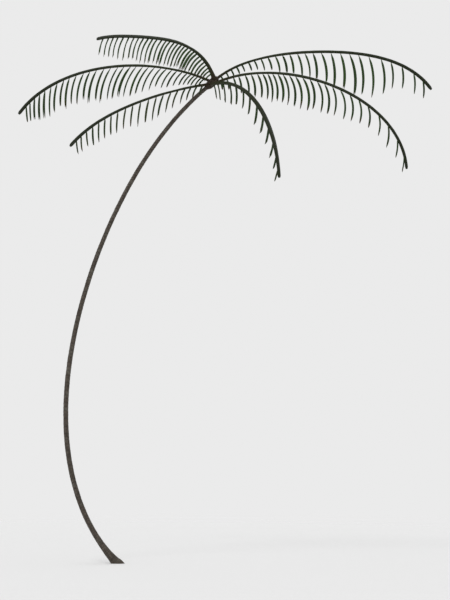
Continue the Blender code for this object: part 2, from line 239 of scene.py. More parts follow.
# azimuth: degrees from +X towards +Y. seat: where the rib's middle line starts in the heart, as its
# height along the heart's axis and its bearing round it in degrees, or None for on the axis.
# rises: degrees above level at 0, 1/3, 2/3 and all of the length. rib: the rib's radius at its
# foot, half way and at its tip. pairs: pairs of leaflets. gaps: gaps between pairs at the first,
# middle and last one, as compared with each other. leaf: lengths of the leaflets, evenly spread
# along the rib. feet, ends: degrees by which the leaflets' feet and ends lean from hanging straight
# towards the frond's tip, at 0, 1/2 and all of the rib. spread: how far the feet of the two rows
# spread sideways, compared with the way they hang. width: width of the longest leaflets. set: fronds
# of one set hang over each other in the front view, leaflet for leaflet. age: 0 for a fresh frond,
# 1 for an old one.
Frond = namedtuple(
    "Frond",
    "name azimuth seat length rises rib pairs gaps leaf feet ends spread width set age",
)
FRONDS = (
    Frond(
        name="frond_upper_right", azimuth=10, seat=(0.30, None), length=5.96,
        rises=(41, 7, -8, -55), rib=(0.032, 0.034, 0.042), pairs=26, gaps=(2.5, 3.5, 5.8),
        leaf=(0.13, 0.24, 0.52, 0.90, 1.22, 0.62, 0.38), feet=(38, 26, 13), ends=(25, -10, -8),
        spread=0.34, width=0.054, set=0, age=0.2,
    ),
    Frond(
        name="frond_right", azimuth=-14, seat=(0.22, -12), length=6.07,
        rises=(25, -9, -35, -87), rib=(0.032, 0.034, 0.036), pairs=27, gaps=(2.9, 2.7, 6.9),
        leaf=(0.13, 0.66, 0.92, 0.84, 0.64, 0.54, 0.37), feet=(25, 32, -12), ends=(0, -21, -10),
        spread=0.34, width=0.054, set=1, age=0.5,
    ),
    Frond(
        name="frond_lower_right_front", azimuth=-60, seat=(0.14, -75), length=4.61,
        rises=(8, -20, -50, -84), rib=(0.035, 0.048, 0.042), pairs=13, gaps=(4.3, 8.4, 7.4),
        leaf=(0.38, 0.52, 0.49, 0.52, 0.53, 0.42, 0.36), feet=(46, 6, -28), ends=(5, -30, -32),
        spread=0.15, width=0.054, set=2, age=0.8,
    ),
    Frond(
        name="frond_lower_right_back", azimuth=60, seat=(0.15, 80), length=4.73,
        rises=(10, -14, -48, -86), rib=(0.035, 0.048, 0.042), pairs=13, gaps=(4.3, 8.4, 7.4),
        leaf=(0.38, 0.52, 0.49, 0.52, 0.53, 0.42, 0.36), feet=(46, 6, -28), ends=(5, -30, -32),
        spread=0.15, width=0.054, set=2, age=0.8,
    ),
    Frond(
        name="frond_upper_left_front", azimuth=-128, seat=(0.30, -128), length=4.87,
        rises=(64, 10, -1, -13), rib=(0.041, 0.034, 0.026), pairs=30, gaps=(1.9, 3.3, 4.2),
        leaf=(0.27, 0.68, 0.74, 0.74, 0.66, 0.58, 0.43), feet=(80, 58, 36), ends=(50, 9, 8),
        spread=0.10, width=0.042, set=3, age=0.1,
    ),
    Frond(
        name="frond_upper_left_back", azimuth=128, seat=(0.30, 128), length=5.34,
        rises=(64, 15, 5, -6), rib=(0.041, 0.034, 0.026), pairs=30, gaps=(1.9, 3.4, 4.6),
        leaf=(0.28, 0.71, 0.77, 0.77, 0.69, 0.60, 0.45), feet=(80, 58, 36), ends=(50, 9, 8),
        spread=0.10, width=0.042, set=3, age=0.1,
    ),
    Frond(
        name="frond_left", azimuth=170, seat=(0.20, 172), length=5.32,
        rises=(25, 3, -18, -54), rib=(0.032, 0.032, 0.042), pairs=33, gaps=(1.4, 3.4, 2.9),
        leaf=(0.20, 0.50, 0.88, 0.92, 0.79, 0.74, 0.26), feet=(60, 36, -8), ends=(28, 0, -6),
        spread=0.34, width=0.040, set=4, age=0.5,
    ),
    Frond(
        name="frond_lower_left", azimuth=-146, seat=(0.09, -138), length=4.42,
        rises=(-7, -16, -25, -46), rib=(0.032, 0.031, 0.042), pairs=20, gaps=(3.6, 5.0, 3.8),
        leaf=(0.22, 0.48, 0.68, 0.61, 0.56, 0.45, 0.33), feet=(50, 18, 0), ends=(6, 0, -20),
        spread=0.24, width=0.050, set=5, age=0.9,
    ),
)
WHOLE_FRONDS = ("frond_lower_left",)  # these are one solid, and the others an inner and an outer one

# Plain leaf colours, from the freshest green to the oldest, and those of midribs, feet and dry tips
GREENS = (
    (0.022, 0.056, 0.009),
    (0.018, 0.047, 0.008),
    (0.015, 0.039, 0.007),
    (0.013, 0.032, 0.007),
    (0.017, 0.034, 0.007),
    (0.026, 0.038, 0.008),
)
MIDRIB = (0.038, 0.055, 0.015)
LEAFLET_FOOT = (0.030, 0.040, 0.011)
TURNING = (0.050, 0.046, 0.013)
DRY_TIP = (0.042, 0.028, 0.014)
LEAF_ROUGHNESS = 0.42
LEAF_SHEEN = 0.15

# Tones of bark, fibre and rib. A ramp's stops are pairs of place and colour.
BARK_RAMP = (
    (0.28, (0.024, 0.018, 0.013)),
    (0.50, (0.060, 0.047, 0.035)),
    (0.74, (0.115, 0.095, 0.074)),
)
LICHEN = (0.125, 0.122, 0.098)
STAIN = (0.028, 0.023, 0.017)
# The colour of the painted shade in the bark's scar grooves and cracks, and on the top ring under the heart
PAINTED_SHADE_TONE = (0.013, 0.010, 0.007)
HEART_TONES = ((0.014, 0.009, 0.006), (0.060, 0.040, 0.024))
THREAD_TONES = ((0.030, 0.019, 0.011), (0.085, 0.058, 0.034))
FIBRE_PLACES = (0.30, 0.52, 0.72)  # of the dark, the middle and the light tone
RIB_RAMP = (
    (0.012, (0.026, 0.017, 0.009)),
    (0.035, (0.027, 0.023, 0.009)),
    (0.120, (0.018, 0.024, 0.008)),
    (0.600, (0.012, 0.017, 0.006)),
    (1.000, (0.010, 0.014, 0.005)),
)
RIB_STREAK = (0.026, 0.029, 0.012)
RIB_SPECK = (0.012, 0.009, 0.006)
NOISE_ROUGHNESS = 0.6


# Curves


def graded(values, share):
    """The smooth curve through values that are spread evenly from share 0 to share 1."""
    last = len(values) - 1
    total = 0.0
    for i, value in enumerate(values):
        for j in range(len(values)):
            if j != i:
                value *= (share * last - j) / (i - j)
        total += value
    return total


def broken(values, share):
    """The broken line through values that are spread evenly from share 0 to share 1."""
    place = share * (len(values) - 1)
    whole = min(int(place), len(values) - 2)
    return values[whole] + (values[whole + 1] - values[whole]) * (place - whole)


def walk(start, length, steps, heading):
    """The points of a path of that length, which heads the way that heading(share) says."""
    points = [Vector(start)]
    for i in range(steps):
        points.append(points[-1] + heading((i + 0.5) / steps) * length / steps)
    return points


def along(points, share):
    """The point at that share of an evenly stepped path."""
    last = len(points) - 1
    whole = min(int(share * last), last - 1)
    return points[whole].lerp(points[whole + 1], share * last - whole)


def eased(low, high, value):
    """0 below low, 1 above high, and a smooth rise between them."""
    share = min(max((value - low) / (high - low), 0.0), 1.0)
    return share * share * (3 - 2 * share)


def between(pairs, value):
    """The value on the broken line through (place, value) pairs."""
    for (place, low), (following, high) in zip(pairs, pairs[1:]):
        if value <= following:
            share = (value - place) / (following - place)
            return low + (high - low) * share
    return pairs[-1][1]


# Meshes


class Skin:
    """Gathers the corners and faces of one joined piece, with a material number for each face."""

    def __init__(self):
        self.corners = []
        self.faces = []
        self.kinds = []

    def add_loft(self, rings, kind_of, tip=None):
        """Joins closed rings in order and caps them. kind_of(row, column) numbers a face's material."""
        first = len(self.corners)
        sides = len(rings[0])
        for ring in rings:
            self.corners.extend(tuple(corner) for corner in ring)
        for row in range(len(rings) - 1):
            for column in range(sides):
                here = first + row * sides + column
                beside = first + row * sides + (column + 1) % sides
                self.faces.append((here, beside, beside + sides, here + sides))
                self.kinds.append(kind_of(row, column))
        self.faces.append(tuple(first + column for column in reversed(range(sides))))
        self.kinds.append(kind_of(0, 0))
        last = first + (len(rings) - 1) * sides
        if tip is None:
            self.faces.append(tuple(last + column for column in range(sides)))
            self.kinds.append(kind_of(len(rings) - 2, 0))
            return
        self.corners.append(tuple(tip))
        point = len(self.corners) - 1
        for column in range(sides):
            self.faces.append((last + column, last + (column + 1) % sides, point))
            self.kinds.append(kind_of(len(rings) - 1, column))

    def made(self, name, materials, sharp):
        """The piece itself, whose faces are smooth but for edges sharper than sharp degrees."""
        mesh = bpy.data.meshes.new(name)
        mesh.from_pydata(self.corners, [], self.faces)
        for material in materials:
            mesh.materials.append(material)
        mesh.polygons.foreach_set("material_index", self.kinds)
        mesh.shade_smooth()
        mesh.set_sharp_from_angle(angle=math.radians(sharp))
        mesh.update()
        item = bpy.data.objects.new(name, mesh)
        bpy.context.scene.collection.objects.link(item)
        return item


def hand_in(piece, slot, *nodes):
    """Every piece rides on the one body and hides the imported solids of its nodes, in whose place it
    stands. The slot is not used.
    """
    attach(piece, "root")
    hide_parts(*nodes)


# Materials


def plain_material(name, color, roughness):
    material = bpy.data.materials.new(name)
    material.use_nodes = True
    shader = material.node_tree.nodes["Principled BSDF"]
    shader.inputs["Base Color"].default_value = (*color, 1.0)
    shader.inputs["Roughness"].default_value = roughness
    shader.inputs["Specular IOR Level"].default_value = LEAF_SHEEN
    return material


class Nodes:
    """Short calls for the nodes of one material."""

    def __init__(self, name):
        self.material = bpy.data.materials.new(name)
        self.material.use_nodes = True
        self.tree = self.material.node_tree
        self.shader = self.tree.nodes["Principled BSDF"]

    def join(self, output, target):
        self.tree.links.new(output, target)

    def attribute(self, name):
        node = self.tree.nodes.new("ShaderNodeAttribute")
        node.attribute_name = name
        return node

    def stretched(self, vector, lengthwise):
        """The places with that scale lengthwise, which draws a pattern out into streaks."""
        node = self.tree.nodes.new("ShaderNodeMapping")
        node.inputs["Scale"].default_value = (1.0, 1.0, lengthwise)
        self.join(vector, node.inputs["Vector"])
        return node.outputs["Vector"]

    def noise(self, vector, scale, detail=6.0):
        node = self.tree.nodes.new("ShaderNodeTexNoise")
        node.inputs["Scale"].default_value = scale
        node.inputs["Detail"].default_value = detail
        node.inputs["Roughness"].default_value = NOISE_ROUGHNESS
        self.join(vector, node.inputs["Vector"])
        return node.outputs["Fac"]

    def ramp(self, factor, stops):
        node = self.tree.nodes.new("ShaderNodeValToRGB")
        elements = node.color_ramp.elements
        while len(elements) < len(stops):
            elements.new(0.5)  # it gets its own place below
        for element, (place, color) in zip(elements, stops):
            element.position = place
            element.color = (*color, 1.0)
        self.join(factor, node.inputs["Fac"])
        return node.outputs["Color"]

    def grades(self, factor, low, high, to_low, to_high):
        """Turns values from low to high into values from to_low to to_high."""
        node = self.tree.nodes.new("ShaderNodeMapRange")
        node.inputs["From Min"].default_value = low
        node.inputs["From Max"].default_value = high
        node.inputs["To Min"].default_value = to_low
        node.inputs["To Max"].default_value = to_high
        self.join(factor, node.inputs["Value"])
        return node.outputs["Result"]

    def mix(self, factor, first, second):
        """Mixes a colour output with a plain colour, which shows where the factor is 1."""
        node = self.tree.nodes.new("ShaderNodeMix")
        node.data_type = "RGBA"
        self.join(factor, node.inputs["Factor"])
        self.join(first, node.inputs["A"])
        node.inputs["B"].default_value = (*second, 1.0)
        return node.outputs["Result"]

    def add(self, first, second, share):
        """The first output plus that share of the second one."""
        node = self.tree.nodes.new("ShaderNodeMath")
        node.operation = "MULTIPLY_ADD"
        self.join(second, node.inputs[0])
        node.inputs[1].default_value = share
        self.join(first, node.inputs[2])
        return node.outputs["Value"]

    def bump(self, height, strength, distance):
        node = self.tree.nodes.new("ShaderNodeBump")
        node.inputs["Strength"].default_value = strength
        node.inputs["Distance"].default_value = distance
        self.join(height, node.inputs["Height"])
        self.join(node.outputs["Normal"], self.shader.inputs["Normal"])


def bark_material():
    """Grey-brown stem: streaks along it, pale lichen, and painted shade in its scars and cracks."""
    nodes = Nodes("ringed_bark")
    place = nodes.attribute("stem_place").outputs["Vector"]
    streaks = nodes.noise(nodes.stretched(place, lengthwise=0.22), scale=34.0)
    color = nodes.ramp(streaks, BARK_RAMP)
    patches = nodes.grades(nodes.noise(place, scale=7.0), low=0.54, high=0.66, to_low=0.0, to_high=0.55)
    color = nodes.mix(patches, color, LICHEN)
    blots = nodes.noise(nodes.stretched(place, lengthwise=0.4), scale=3.1)
    stains = nodes.grades(blots, low=0.50, high=0.72, to_low=0.0, to_high=0.6)
    color = nodes.mix(stains, color, STAIN)
    # painted shade in the scars' grooves, the cracks and the top ring under the heart
    darkness = nodes.attribute("darkness").outputs["Fac"]
    dark = nodes.grades(darkness, low=0.0, high=1.0, to_low=0.0, to_high=0.85)
    color = nodes.mix(dark, color, PAINTED_SHADE_TONE)
    nodes.join(color, nodes.shader.inputs["Base Color"])
    rough = nodes.grades(streaks, low=0.3, high=0.7, to_low=0.95, to_high=0.74)
    nodes.join(rough, nodes.shader.inputs["Roughness"])
    fine = nodes.noise(nodes.stretched(place, lengthwise=0.30), scale=140.0, detail=4.0)
    nodes.bump(nodes.add(fine, streaks, share=1.4), strength=0.55, distance=0.0022)
    return nodes.material


def fibre_material(name, dark, light, scale):
    """Brown fibre in strands, for the mat round the heart and its loose threads."""
    nodes = Nodes(name)
    place = nodes.attribute("fibre_place").outputs["Vector"]
    strands = nodes.noise(nodes.stretched(place, lengthwise=0.10), scale)
    middle = tuple((first + second) / 2 for first, second in zip(dark, light))
    color = nodes.ramp(strands, tuple(zip(FIBRE_PLACES, (dark, middle, light))))
    nodes.join(color, nodes.shader.inputs["Base Color"])
    rough = nodes.grades(strands, low=0.3, high=0.7, to_low=0.95, to_high=0.80)
    nodes.join(rough, nodes.shader.inputs["Roughness"])
    nodes.bump(strands, strength=0.5, distance=0.0015)
    return nodes.material


def rib_material():
    """Brown and dry at the heart, then dull green, with pale streaks and dark specks."""
    nodes = Nodes("frond_rib")
    place = nodes.attribute("rib_place").outputs["Vector"]
    reach = nodes.attribute("reach").outputs["Fac"]
    color = nodes.ramp(reach, RIB_RAMP)
    streaks = nodes.noise(nodes.stretched(place, lengthwise=0.06), scale=90.0)
    pale = nodes.grades(streaks, low=0.45, high=0.75, to_low=0.0, to_high=0.5)
    color = nodes.mix(pale, color, RIB_STREAK)
    specks = nodes.noise(nodes.stretched(place, lengthwise=0.35), scale=46.0)
    dark = nodes.grades(specks, low=0.60, high=0.70, to_low=0.0, to_high=0.7)
    color = nodes.mix(dark, color, RIB_SPECK)
    nodes.join(color, nodes.shader.inputs["Base Color"])
    rough = nodes.grades(streaks, low=0.3, high=0.7, to_low=0.42, to_high=0.62)
    nodes.join(rough, nodes.shader.inputs["Roughness"])
    nodes.shader.inputs["Specular IOR Level"].default_value = LEAF_SHEEN
    nodes.bump(streaks, strength=0.35, distance=0.0012)
    return nodes.material


def leaf_materials():
    """Plain colours in the order that leaflet faces number them."""
    made = [plain_material(f"leaf_green_{i}", color, LEAF_ROUGHNESS) for i, color in enumerate(GREENS)]
    made.append(plain_material("leaf_midrib", MIDRIB, roughness=0.45))
    made.append(plain_material("leaflet_foot", LEAFLET_FOOT, roughness=0.5))
    made.append(plain_material("leaf_turning", TURNING, roughness=0.6))
    made.append(plain_material("leaf_dry_tip", DRY_TIP, roughness=0.8))
    return made


def store_places(mesh, name, places):
    """A place for each corner that the material's streaks follow."""
    layer = mesh.attributes.new(name, "FLOAT_VECTOR", "POINT")
    layer.data.foreach_set("vector", [number for place in places for number in place])


def store_numbers(mesh, name, numbers):
    layer = mesh.attributes.new(name, "FLOAT", "POINT")
    layer.data.foreach_set("value", numbers)


# The trunk


def lean_vector(degrees):
    """The way up, leant that far over towards +X."""
    return Vector((math.sin(math.radians(degrees)), 0, math.cos(math.radians(degrees))))


def trunk_path(steps):
    """The trunk's middle line from the ground to its tip."""
    return walk((0, 0, 0), TRUNK_LENGTH, steps, lambda share: lean_vector(graded(TRUNK_LEANS, share)))


def trunk_radius(height_along):
    """The stem's own taper, and the flare that dies away above the ground."""
    share = height_along / TRUNK_LENGTH
    stem = TRUNK_FOOT_RADIUS + (TRUNK_TIP_RADIUS - TRUNK_FOOT_RADIUS) * share
    return stem + FLARE_RADIUS * math.exp(-height_along / FLARE_HEIGHT)


def scar_heights(chance):
    """Where the leaf scars lie along the trunk, from below the ground to the tip."""
    heights = [-BURIED]
    while heights[-1] < TRUNK_LENGTH:
        share = max(heights[-1], 0.0) / TRUNK_LENGTH
        spacing = graded(SCAR_SPACING, share)
        heights.append(heights[-1] + spacing * (1 + chance.uniform(-SCAR_SPREAD, SCAR_SPREAD)))
    heights[-1] = TRUNK_LENGTH
    return heights


def bark_rings(chance):
    """(height, share of the relief, painted shade, slope as a vector) of each ring of the trunk's mesh."""
    heights = scar_heights(chance)
    tilts = [SCAR_TILT * chance.uniform(*SCAR_TILTS) for _ in heights]
    tilts[-1] = 0.0
    rings = []
    for i, (low, high) in enumerate(zip(heights, heights[1:])):
        depth = chance.uniform(*SCAR_RELIEFS)
        for share, relief, darkness in SCAR_OUTLINE:
            slope = Vector((0, 0))
            for k, weight in ((i, 1 - share), (i + 1, share)):
                bearing = math.radians(SCAR_BEARING * k)
                slope += Vector((math.cos(bearing), math.sin(bearing))) * tilts[k] * weight
            rings.append((low + (high - low) * share, relief * depth, darkness, slope))
    rings.append((TRUNK_LENGTH, 0.0, TIP_PAINTED_SHADE, Vector((0, 0))))
    return rings


def crack_depths(chance, count):
    """Cracks that run up the trunk, one corner wide: {(ring, side): depth}."""
    depths = {}
    for _ in range(CRACKS):
        start = chance.randrange(count)
        run = chance.randint(*CRACK_RINGS)
        side = chance.randrange(BARK_SIDES)
        deepest = CRACK_DEPTH * chance.uniform(*CRACK_DEPTHS)
        for step in range(run):
            if chance.random() < CRACK_WANDER:
                side += chance.choice((-1, 1))
            depths[start + step, side % BARK_SIDES] = deepest * math.sin(math.pi * (step + 0.5) / run)
    return depths


def make_trunk():
    """Rings of bark round a finer middle line, which still ends where that of the solid does."""
    chance = random.Random(SEED)
    rings = bark_rings(chance)
    cracks = crack_depths(chance, len(rings))
    fine = trunk_path(FINER * TRUNK_STEPS)
    miss = trunk_path(TRUNK_STEPS)[-1] - fine[-1]
    skin = Skin()
    loops = []
    places = []
    painted_shades = []
    for row, (height, relief, darkness, slope) in enumerate(rings):
        loop = []
        for column in range(BARK_SIDES):
            turn = 2 * math.pi * column / BARK_SIDES
            round_way = Vector((math.cos(turn), math.sin(turn)))
            raised = min(height + slope.dot(round_way), TRUNK_LENGTH)
            share = max(raised, 0.0) / TRUNK_LENGTH
            lean = graded(TRUNK_LEANS, share)
            middle = along(fine, share) + miss * share
            if raised < 0:
                middle = lean_vector(lean) * raised
            radius = trunk_radius(max(raised, 0.0))
            place = Vector((round_way.x * radius, round_way.y * radius, raised))
            wear = WEAR_MEAN + WEAR_SWING * noise.noise(place * WEAR_PER_METRE)
            foot = math.exp(-max(raised, 0.0) / ROOT_RIDGE_HEIGHT)
            crack = cracks.get((row, column), 0.0)
            wander = ROOT_RIDGE_WANDER * noise.noise(place * ROOT_WANDER_PER_METRE)
            ridge = abs(math.sin(ROOT_RIDGES * turn / 2 + wander))
            radius += SCAR_RELIEF * relief * wear * (1 - SCAR_FADE * foot)
            radius += LUMP * noise.noise(place / LUMP_SIZE) * (1 + foot)
            radius += ROOT_RIDGE * foot * (ridge - ROOT_RIDGE_MEAN)
            radius -= crack
            side_way = lean_vector(lean + 90)
            loop.append(middle + side_way * round_way.x * radius + Vector((0, round_way.y * radius, 0)))
            places.append(place)
            # painted shade: deepest in the scars' grooves and in the cracks by their depth, less where the
            # scars are worn and near the foot
            painted_shades.append(min(1.0, darkness * wear * (1 - PAINTED_SHADE_FADE * foot) + crack / CRACK_DEPTH))
        loops.append(loop)
    skin.add_loft(loops, lambda row, column: 0)
    trunk = skin.made("trunk_bark", [bark_material()], sharp=60)
    store_places(trunk.data, "stem_place", places)
    store_numbers(trunk.data, "darkness", painted_shades)
    cut_at_ground(trunk)
    hand_in(trunk, "bark", "trunk")


def cut_at_ground(item):
    """Cuts off what lies below the ground and closes the cut with one flat face."""
    shape = bmesh.new()
    shape.from_mesh(item.data)
    everything = shape.verts[:] + shape.edges[:] + shape.faces[:]
    cut = bmesh.ops.bisect_plane(
        shape, geom=everything, plane_co=(0, 0, 0), plane_no=(0, 0, 1), clear_inner=True
    )
    rim = [part for part in cut["geom_cut"] if isinstance(part, bmesh.types.BMEdge)]
    for corner in {corner for edge in rim for corner in edge.verts}:
        corner.co.z = 0.0
    bmesh.ops.edgeloop_fill(shape, edges=rim)
    bmesh.ops.recalc_face_normals(shape, faces=shape.faces)
    shape.to_mesh(item.data)
    shape.free()


# The crown heart


def tip_lean():
    """The lean of the trunk's last straight piece, whose flat end the heart stands on."""
    return graded(TRUNK_LEANS, 1 - 0.5 / TRUNK_STEPS)


def heart_place():
    """Where the heart's own frame stands: just clear of the trunk's tip, leant as the tip is."""
    foot = trunk_path(TRUNK_STEPS)[-1] + lean_vector(tip_lean()) * CLEARANCE
    return Matrix.Translation(foot) @ Matrix.Rotation(math.radians(tip_lean()), 4, "Y")


def heart_radius(share):
    return HEART_RADIUS * between(HEART_OUTLINE, share)


def make_heart():
    """Wraps of woven fibre round the bud, each with an edge that winds up it."""
    place = heart_place()
    skin = Skin()
    loops = []
    places = []
    for row in range(HEART_RINGS):
        share = row / (HEART_RINGS - 1)
        height = HEART_HEIGHT * share
        loop = []
        for column in range(HEART_SIDES):
            turn = 2 * math.pi * column / HEART_SIDES
            radius = heart_radius(share)
            round_way = Vector((math.cos(turn), math.sin(turn)))
            winding = (turn / (2 * math.pi) * WRAPS_ROUND + share * WRAPS) % 1.0
            up = 2 * math.pi * height / WEAVE_PITCH * WEAVE_RISES
            weave = math.sin(WEAVE_TURNS * turn + up) * math.sin(WEAVE_TURNS * turn - up)
            spot = Vector((*round_way * HEART_LUMPS_ROUND, height * HEART_LUMPS_UP))
            fade = min(1.0, radius / FULL_RELIEF_RADIUS)
            lump = HEART_LUMP * noise.noise(spot)
            radius += (WEAVE_RELIEF * weave - WRAP_EDGE * winding + lump) * fade
            corner = Vector((math.cos(turn) * radius, math.sin(turn) * radius, height))
            loop.append(place @ corner)
            places.append(corner)
        loops.append(loop)
    skin.add_loft(loops, lambda row, column: 0)
    look = fibre_material("fibre_mat", *HEART_TONES, scale=60.0)
    heart = skin.made("heart_fibre_mat", [look], sharp=50)
    store_places(heart.data, "fibre_place", places)
    hand_in(heart, "heart_fibre", "crown_heart")


def make_strands():
    """Loose threads that cross on the mat, some of them with a free end that stands off."""
    chance = random.Random(SEED + 1)
    place = heart_place()
    skin = Skin()
    places = []
    for _ in range(STRANDS):
        start = chance.uniform(*STRAND_STARTS)
        turn = chance.uniform(0, 2 * math.pi)
        hand = chance.choice((-1, 1))
        run = chance.uniform(*STRAND_RUNS)
        slant = chance.uniform(*STRAND_SLANTS)
        lift = chance.choice(STRAND_LIFTS)
        spine = []
        for i in range(STRAND_STEPS + 1):
            part = i / STRAND_STEPS
            share = min(start + run * math.cos(slant) * part / HEART_HEIGHT, STRAND_TOP)
            radius = heart_radius(share) + STRAND_RADIUS + lift * part**3
            angle = turn + hand * run * math.sin(slant) * part / heart_radius(STRAND_GIRTH)
            spine.append(Vector((math.cos(angle) * radius, math.sin(angle) * radius, HEART_HEIGHT * share)))
        rings = []
        for i, point in enumerate(spine):
            way = (spine[min(i + 1, STRAND_STEPS)] - spine[max(i - 1, 0)]).normalized()
            side = way.cross(Vector((point.x, point.y, 0.0))).normalized()
            lifted = side.cross(way)
            thick = STRAND_RADIUS * (1 - STRAND_THINNING * i / STRAND_STEPS)
            corners = (side * thick, lifted * thick, -side * thick, -lifted * thick)
            rings.append([place @ (point + corner) for corner in corners])
            places.extend([point] * len(corners))
        skin.add_loft(rings, lambda row, column: 0)
    look = fibre_material("fibre_thread", *THREAD_TONES, scale=40.0)
    strands = skin.made("heart_fibre_strands", [look], sharp=60)
    store_places(strands.data, "fibre_place", places)
    hand_in(strands, "heart_fibre", "crown_heart")


# The fronds


def rib_heading(frond):
    """The rib's heading in the frond's own frame, whose +X is the frond's azimuth."""

    def heading(share):
        rise = math.radians(graded(frond.rises, share))
        return Vector((math.cos(rise), 0, math.sin(rise)))

    return heading


def frond_place(frond):
    """Where the frond's own frame stands: at its seat in the heart, turned to its azimuth."""
    height, bearing = frond.seat
    seat = Vector((0, 0, height))
    if bearing is not None:
        seat += Matrix.Rotation(math.radians(bearing), 3, "Z") @ Vector((SEAT_DISTANCE, 0, 0))
    turn = Matrix.Rotation(math.radians(frond.azimuth), 4, "Z")
    return Matrix.Translation(heart_place() @ seat) @ turn


def rib_radius(frond, share):
    swelling = STALK_SWELLING * math.exp(-share * frond.length / STALK_SWELLING_REACH)
    return graded(frond.rib, share) + swelling


def rib_section(frond, share):
    """The rib's outline at that share, as (sideways, upwards) pairs."""
    radius = rib_radius(frond, share)
    radius *= 1 - (1 - TIP_SHARE) * eased(TIP_THINNING, 1.0, share)
    wide = radius + SHEATH_WIDTH * math.exp(-share * frond.length / SHEATH_REACH)
    high = radius * RIB_HEIGHT
    ridged = eased(CHANNEL_END, RIDGE_START, share)
    outline = []
    for i in range(RIB_TOP_POINTS):
        across = 1 - 2 * i / (RIB_TOP_POINTS - 1)
        off = abs(across)
        channel = (CHANNEL_FLOOR + CHANNEL_RISE * off * off) * (1 - off**CHANNEL_EDGE)
        ridge = (1 - off) ** RIDGE_POWER
        outline.append((across * wide, high * (channel + (ridge - channel) * ridged)))
    for i in range(1, RIB_UNDER_POINTS + 1):
        turn = math.pi * i / (RIB_UNDER_POINTS + 1)
        outline.append((-math.cos(turn) * wide, -math.sin(turn) * high))
    return outline


def make_rib(frond, path, material):
    """The whole rib, from inside the heart to its blunt end, and a search tree of it."""
    place = frond_place(frond)
    heading = rib_heading(frond)
    count = round(frond.length / RIB_STEP)
    loops = []
    places = []
    reaches = []
    for i in range(count + 1):
        share = i / count
        way = heading(share)
        upper = Vector((-way.z, 0, way.x))
        loop = []
        for sideways, upwards in rib_section(frond, share):
            grain = (sideways * GRAIN_ACROSS, upwards * GRAIN_ACROSS, share * frond.length * GRAIN_ALONG)
            rough = 1 + RIB_GRAIN * noise.noise(Vector(grain))
            corner = along(path, share) + Vector((0, sideways, 0)) * rough + upper * upwards * rough
            loop.append(place @ corner)
            places.append((sideways, upwards, share * frond.length))
            reaches.append(share)
        loops.append(loop)
    skin = Skin()
    skin.add_loft(loops, lambda row, column: 0)
    rib = skin.made(frond.name.replace("frond", "rib"), [material], sharp=50)
    store_places(rib.data, "rib_place", places)
    store_numbers(rib.data, "reach", reaches)
    return rib, BVHTree.FromPolygons(skin.corners, skin.faces)


def leaflet_shares(frond, chance):
    """Where the pairs stand on the rib, as shares of its length."""
    last = frond.pairs - 1
    gaps = [graded(frond.gaps, (i + 0.5) / last) for i in range(last)]
    gaps = [gap * (1 + chance.uniform(-GAP_JITTER, GAP_JITTER)) for gap in gaps]
    shares = [FIRST_LEAFLET]
    for gap in gaps:
        shares.append(shares[-1] + (LAST_LEAFLET - FIRST_LEAFLET) * gap / sum(gaps))
    return shares


def row_lean(frond, side, middle):
    """How much further forward the row on that side leans, so that both hang alike from the front."""
    return side * frond.spread * math.tan(math.radians(frond.azimuth)) * math.cos(middle)


def leaflet_spine(frond, path, share, side, lean, length):
    """The points of a leaflet that leaves the rib on that side, leant further forward by lean."""
    foot = math.radians(graded(frond.feet, share))
    end = math.radians(graded(frond.ends, share))
    foot += row_lean(frond, side, (foot + end) / 2) + lean

    def heading(part):
        angle = foot + (end - foot) * part
        return Vector((math.sin(angle), side * frond.spread * (1 - part), -math.cos(angle))).normalized()

    start = along(path, share) + Vector((0, side * ROW_OFFSET * frond.spread, 0))
    return walk(start, length, LEAFLET_STEPS, heading)


def blade_width(part):
    """The blade's width at that share of its length, as a share of its widest."""
    if part < FULL_WIDTH_START:
        return FOOT_WIDTH + (1 - FOOT_WIDTH) * eased(0.0, FULL_WIDTH_START, part)
    return 1 - max(0.0, (part - TAPER_START) / (1 - TAPER_START)) ** TAPER_POWER


def blade_fold(part):
    """How far each half of the blade hangs from flat: shut at the foot, open along the middle."""
    opened = FOLD_AT_FOOT + (FOLD_OPEN - FOLD_AT_FOOT) * eased(*FOLD_OPENS, part)
    return opened + (FOLD_AT_TIP - FOLD_OPEN) * eased(*FOLD_SHUTS, part)


def blade_rings(spine, rib_way, side, twist, width, length):
    """The blade's closed sections: seven points above, with the midrib's ridge, and five below."""
    rings = []
    across = rib_way
    for part in BLADE_SECTIONS:
        point = along(spine, part)
        before, after = max(part - HEADING_REACH, 0.0), min(part + HEADING_REACH, 1.0)
        way = (along(spine, after) - along(spine, before)).normalized()
        across = (across - way * across.dot(way)).normalized()
        ridge = way.cross(across)
        # the midrib's ridge faces away from the other row
        if ridge.y * side < 0 and part == 0.0:
            across = -across
            ridge = -ridge
        turn = Matrix.Rotation(twist * part, 3, way)
        wide, high = turn @ across, turn @ ridge
        half = width * blade_width(part) / 2
        fold = blade_fold(part)
        midrib_half = min(MIDRIB_HALF, half * MIDRIB_SHARE)
        swell = math.exp(-((part * length / BLADE_FOOT_REACH) ** 2))
        thick = BLADE_THICKNESS + BLADE_FOOT_THICKNESS * swell
        ridge_up = MIDRIB_HEIGHT * min(1.0, half / MIDRIB_FADE)

        def at(distance, lift):
            lower = abs(distance) * math.sin(fold)
            return point + wide * distance * math.cos(fold) + high * (lift - lower)

        between_out = half * BETWEEN_OUT
        top = ((half, 0), (between_out, thick * BETWEEN_TOP), (midrib_half, thick * BESIDE_TOP))
        bottom = ((between_out, -thick * BETWEEN_BOTTOM), (midrib_half, -thick * BESIDE_BOTTOM))
        ring = [at(-distance, lift) for distance, lift in top]
        ring.append(at(0, thick * BESIDE_TOP + ridge_up))
        ring.extend(at(distance, lift) for distance, lift in reversed(top))
        ring.extend(at(distance, lift) for distance, lift in bottom)
        ring.append(at(0, -thick * BESIDE_BOTTOM - ridge_up * MIDRIB_BELOW))
        ring.extend(at(-distance, lift) for distance, lift in reversed(bottom))
        rings.append(ring)
    return rings


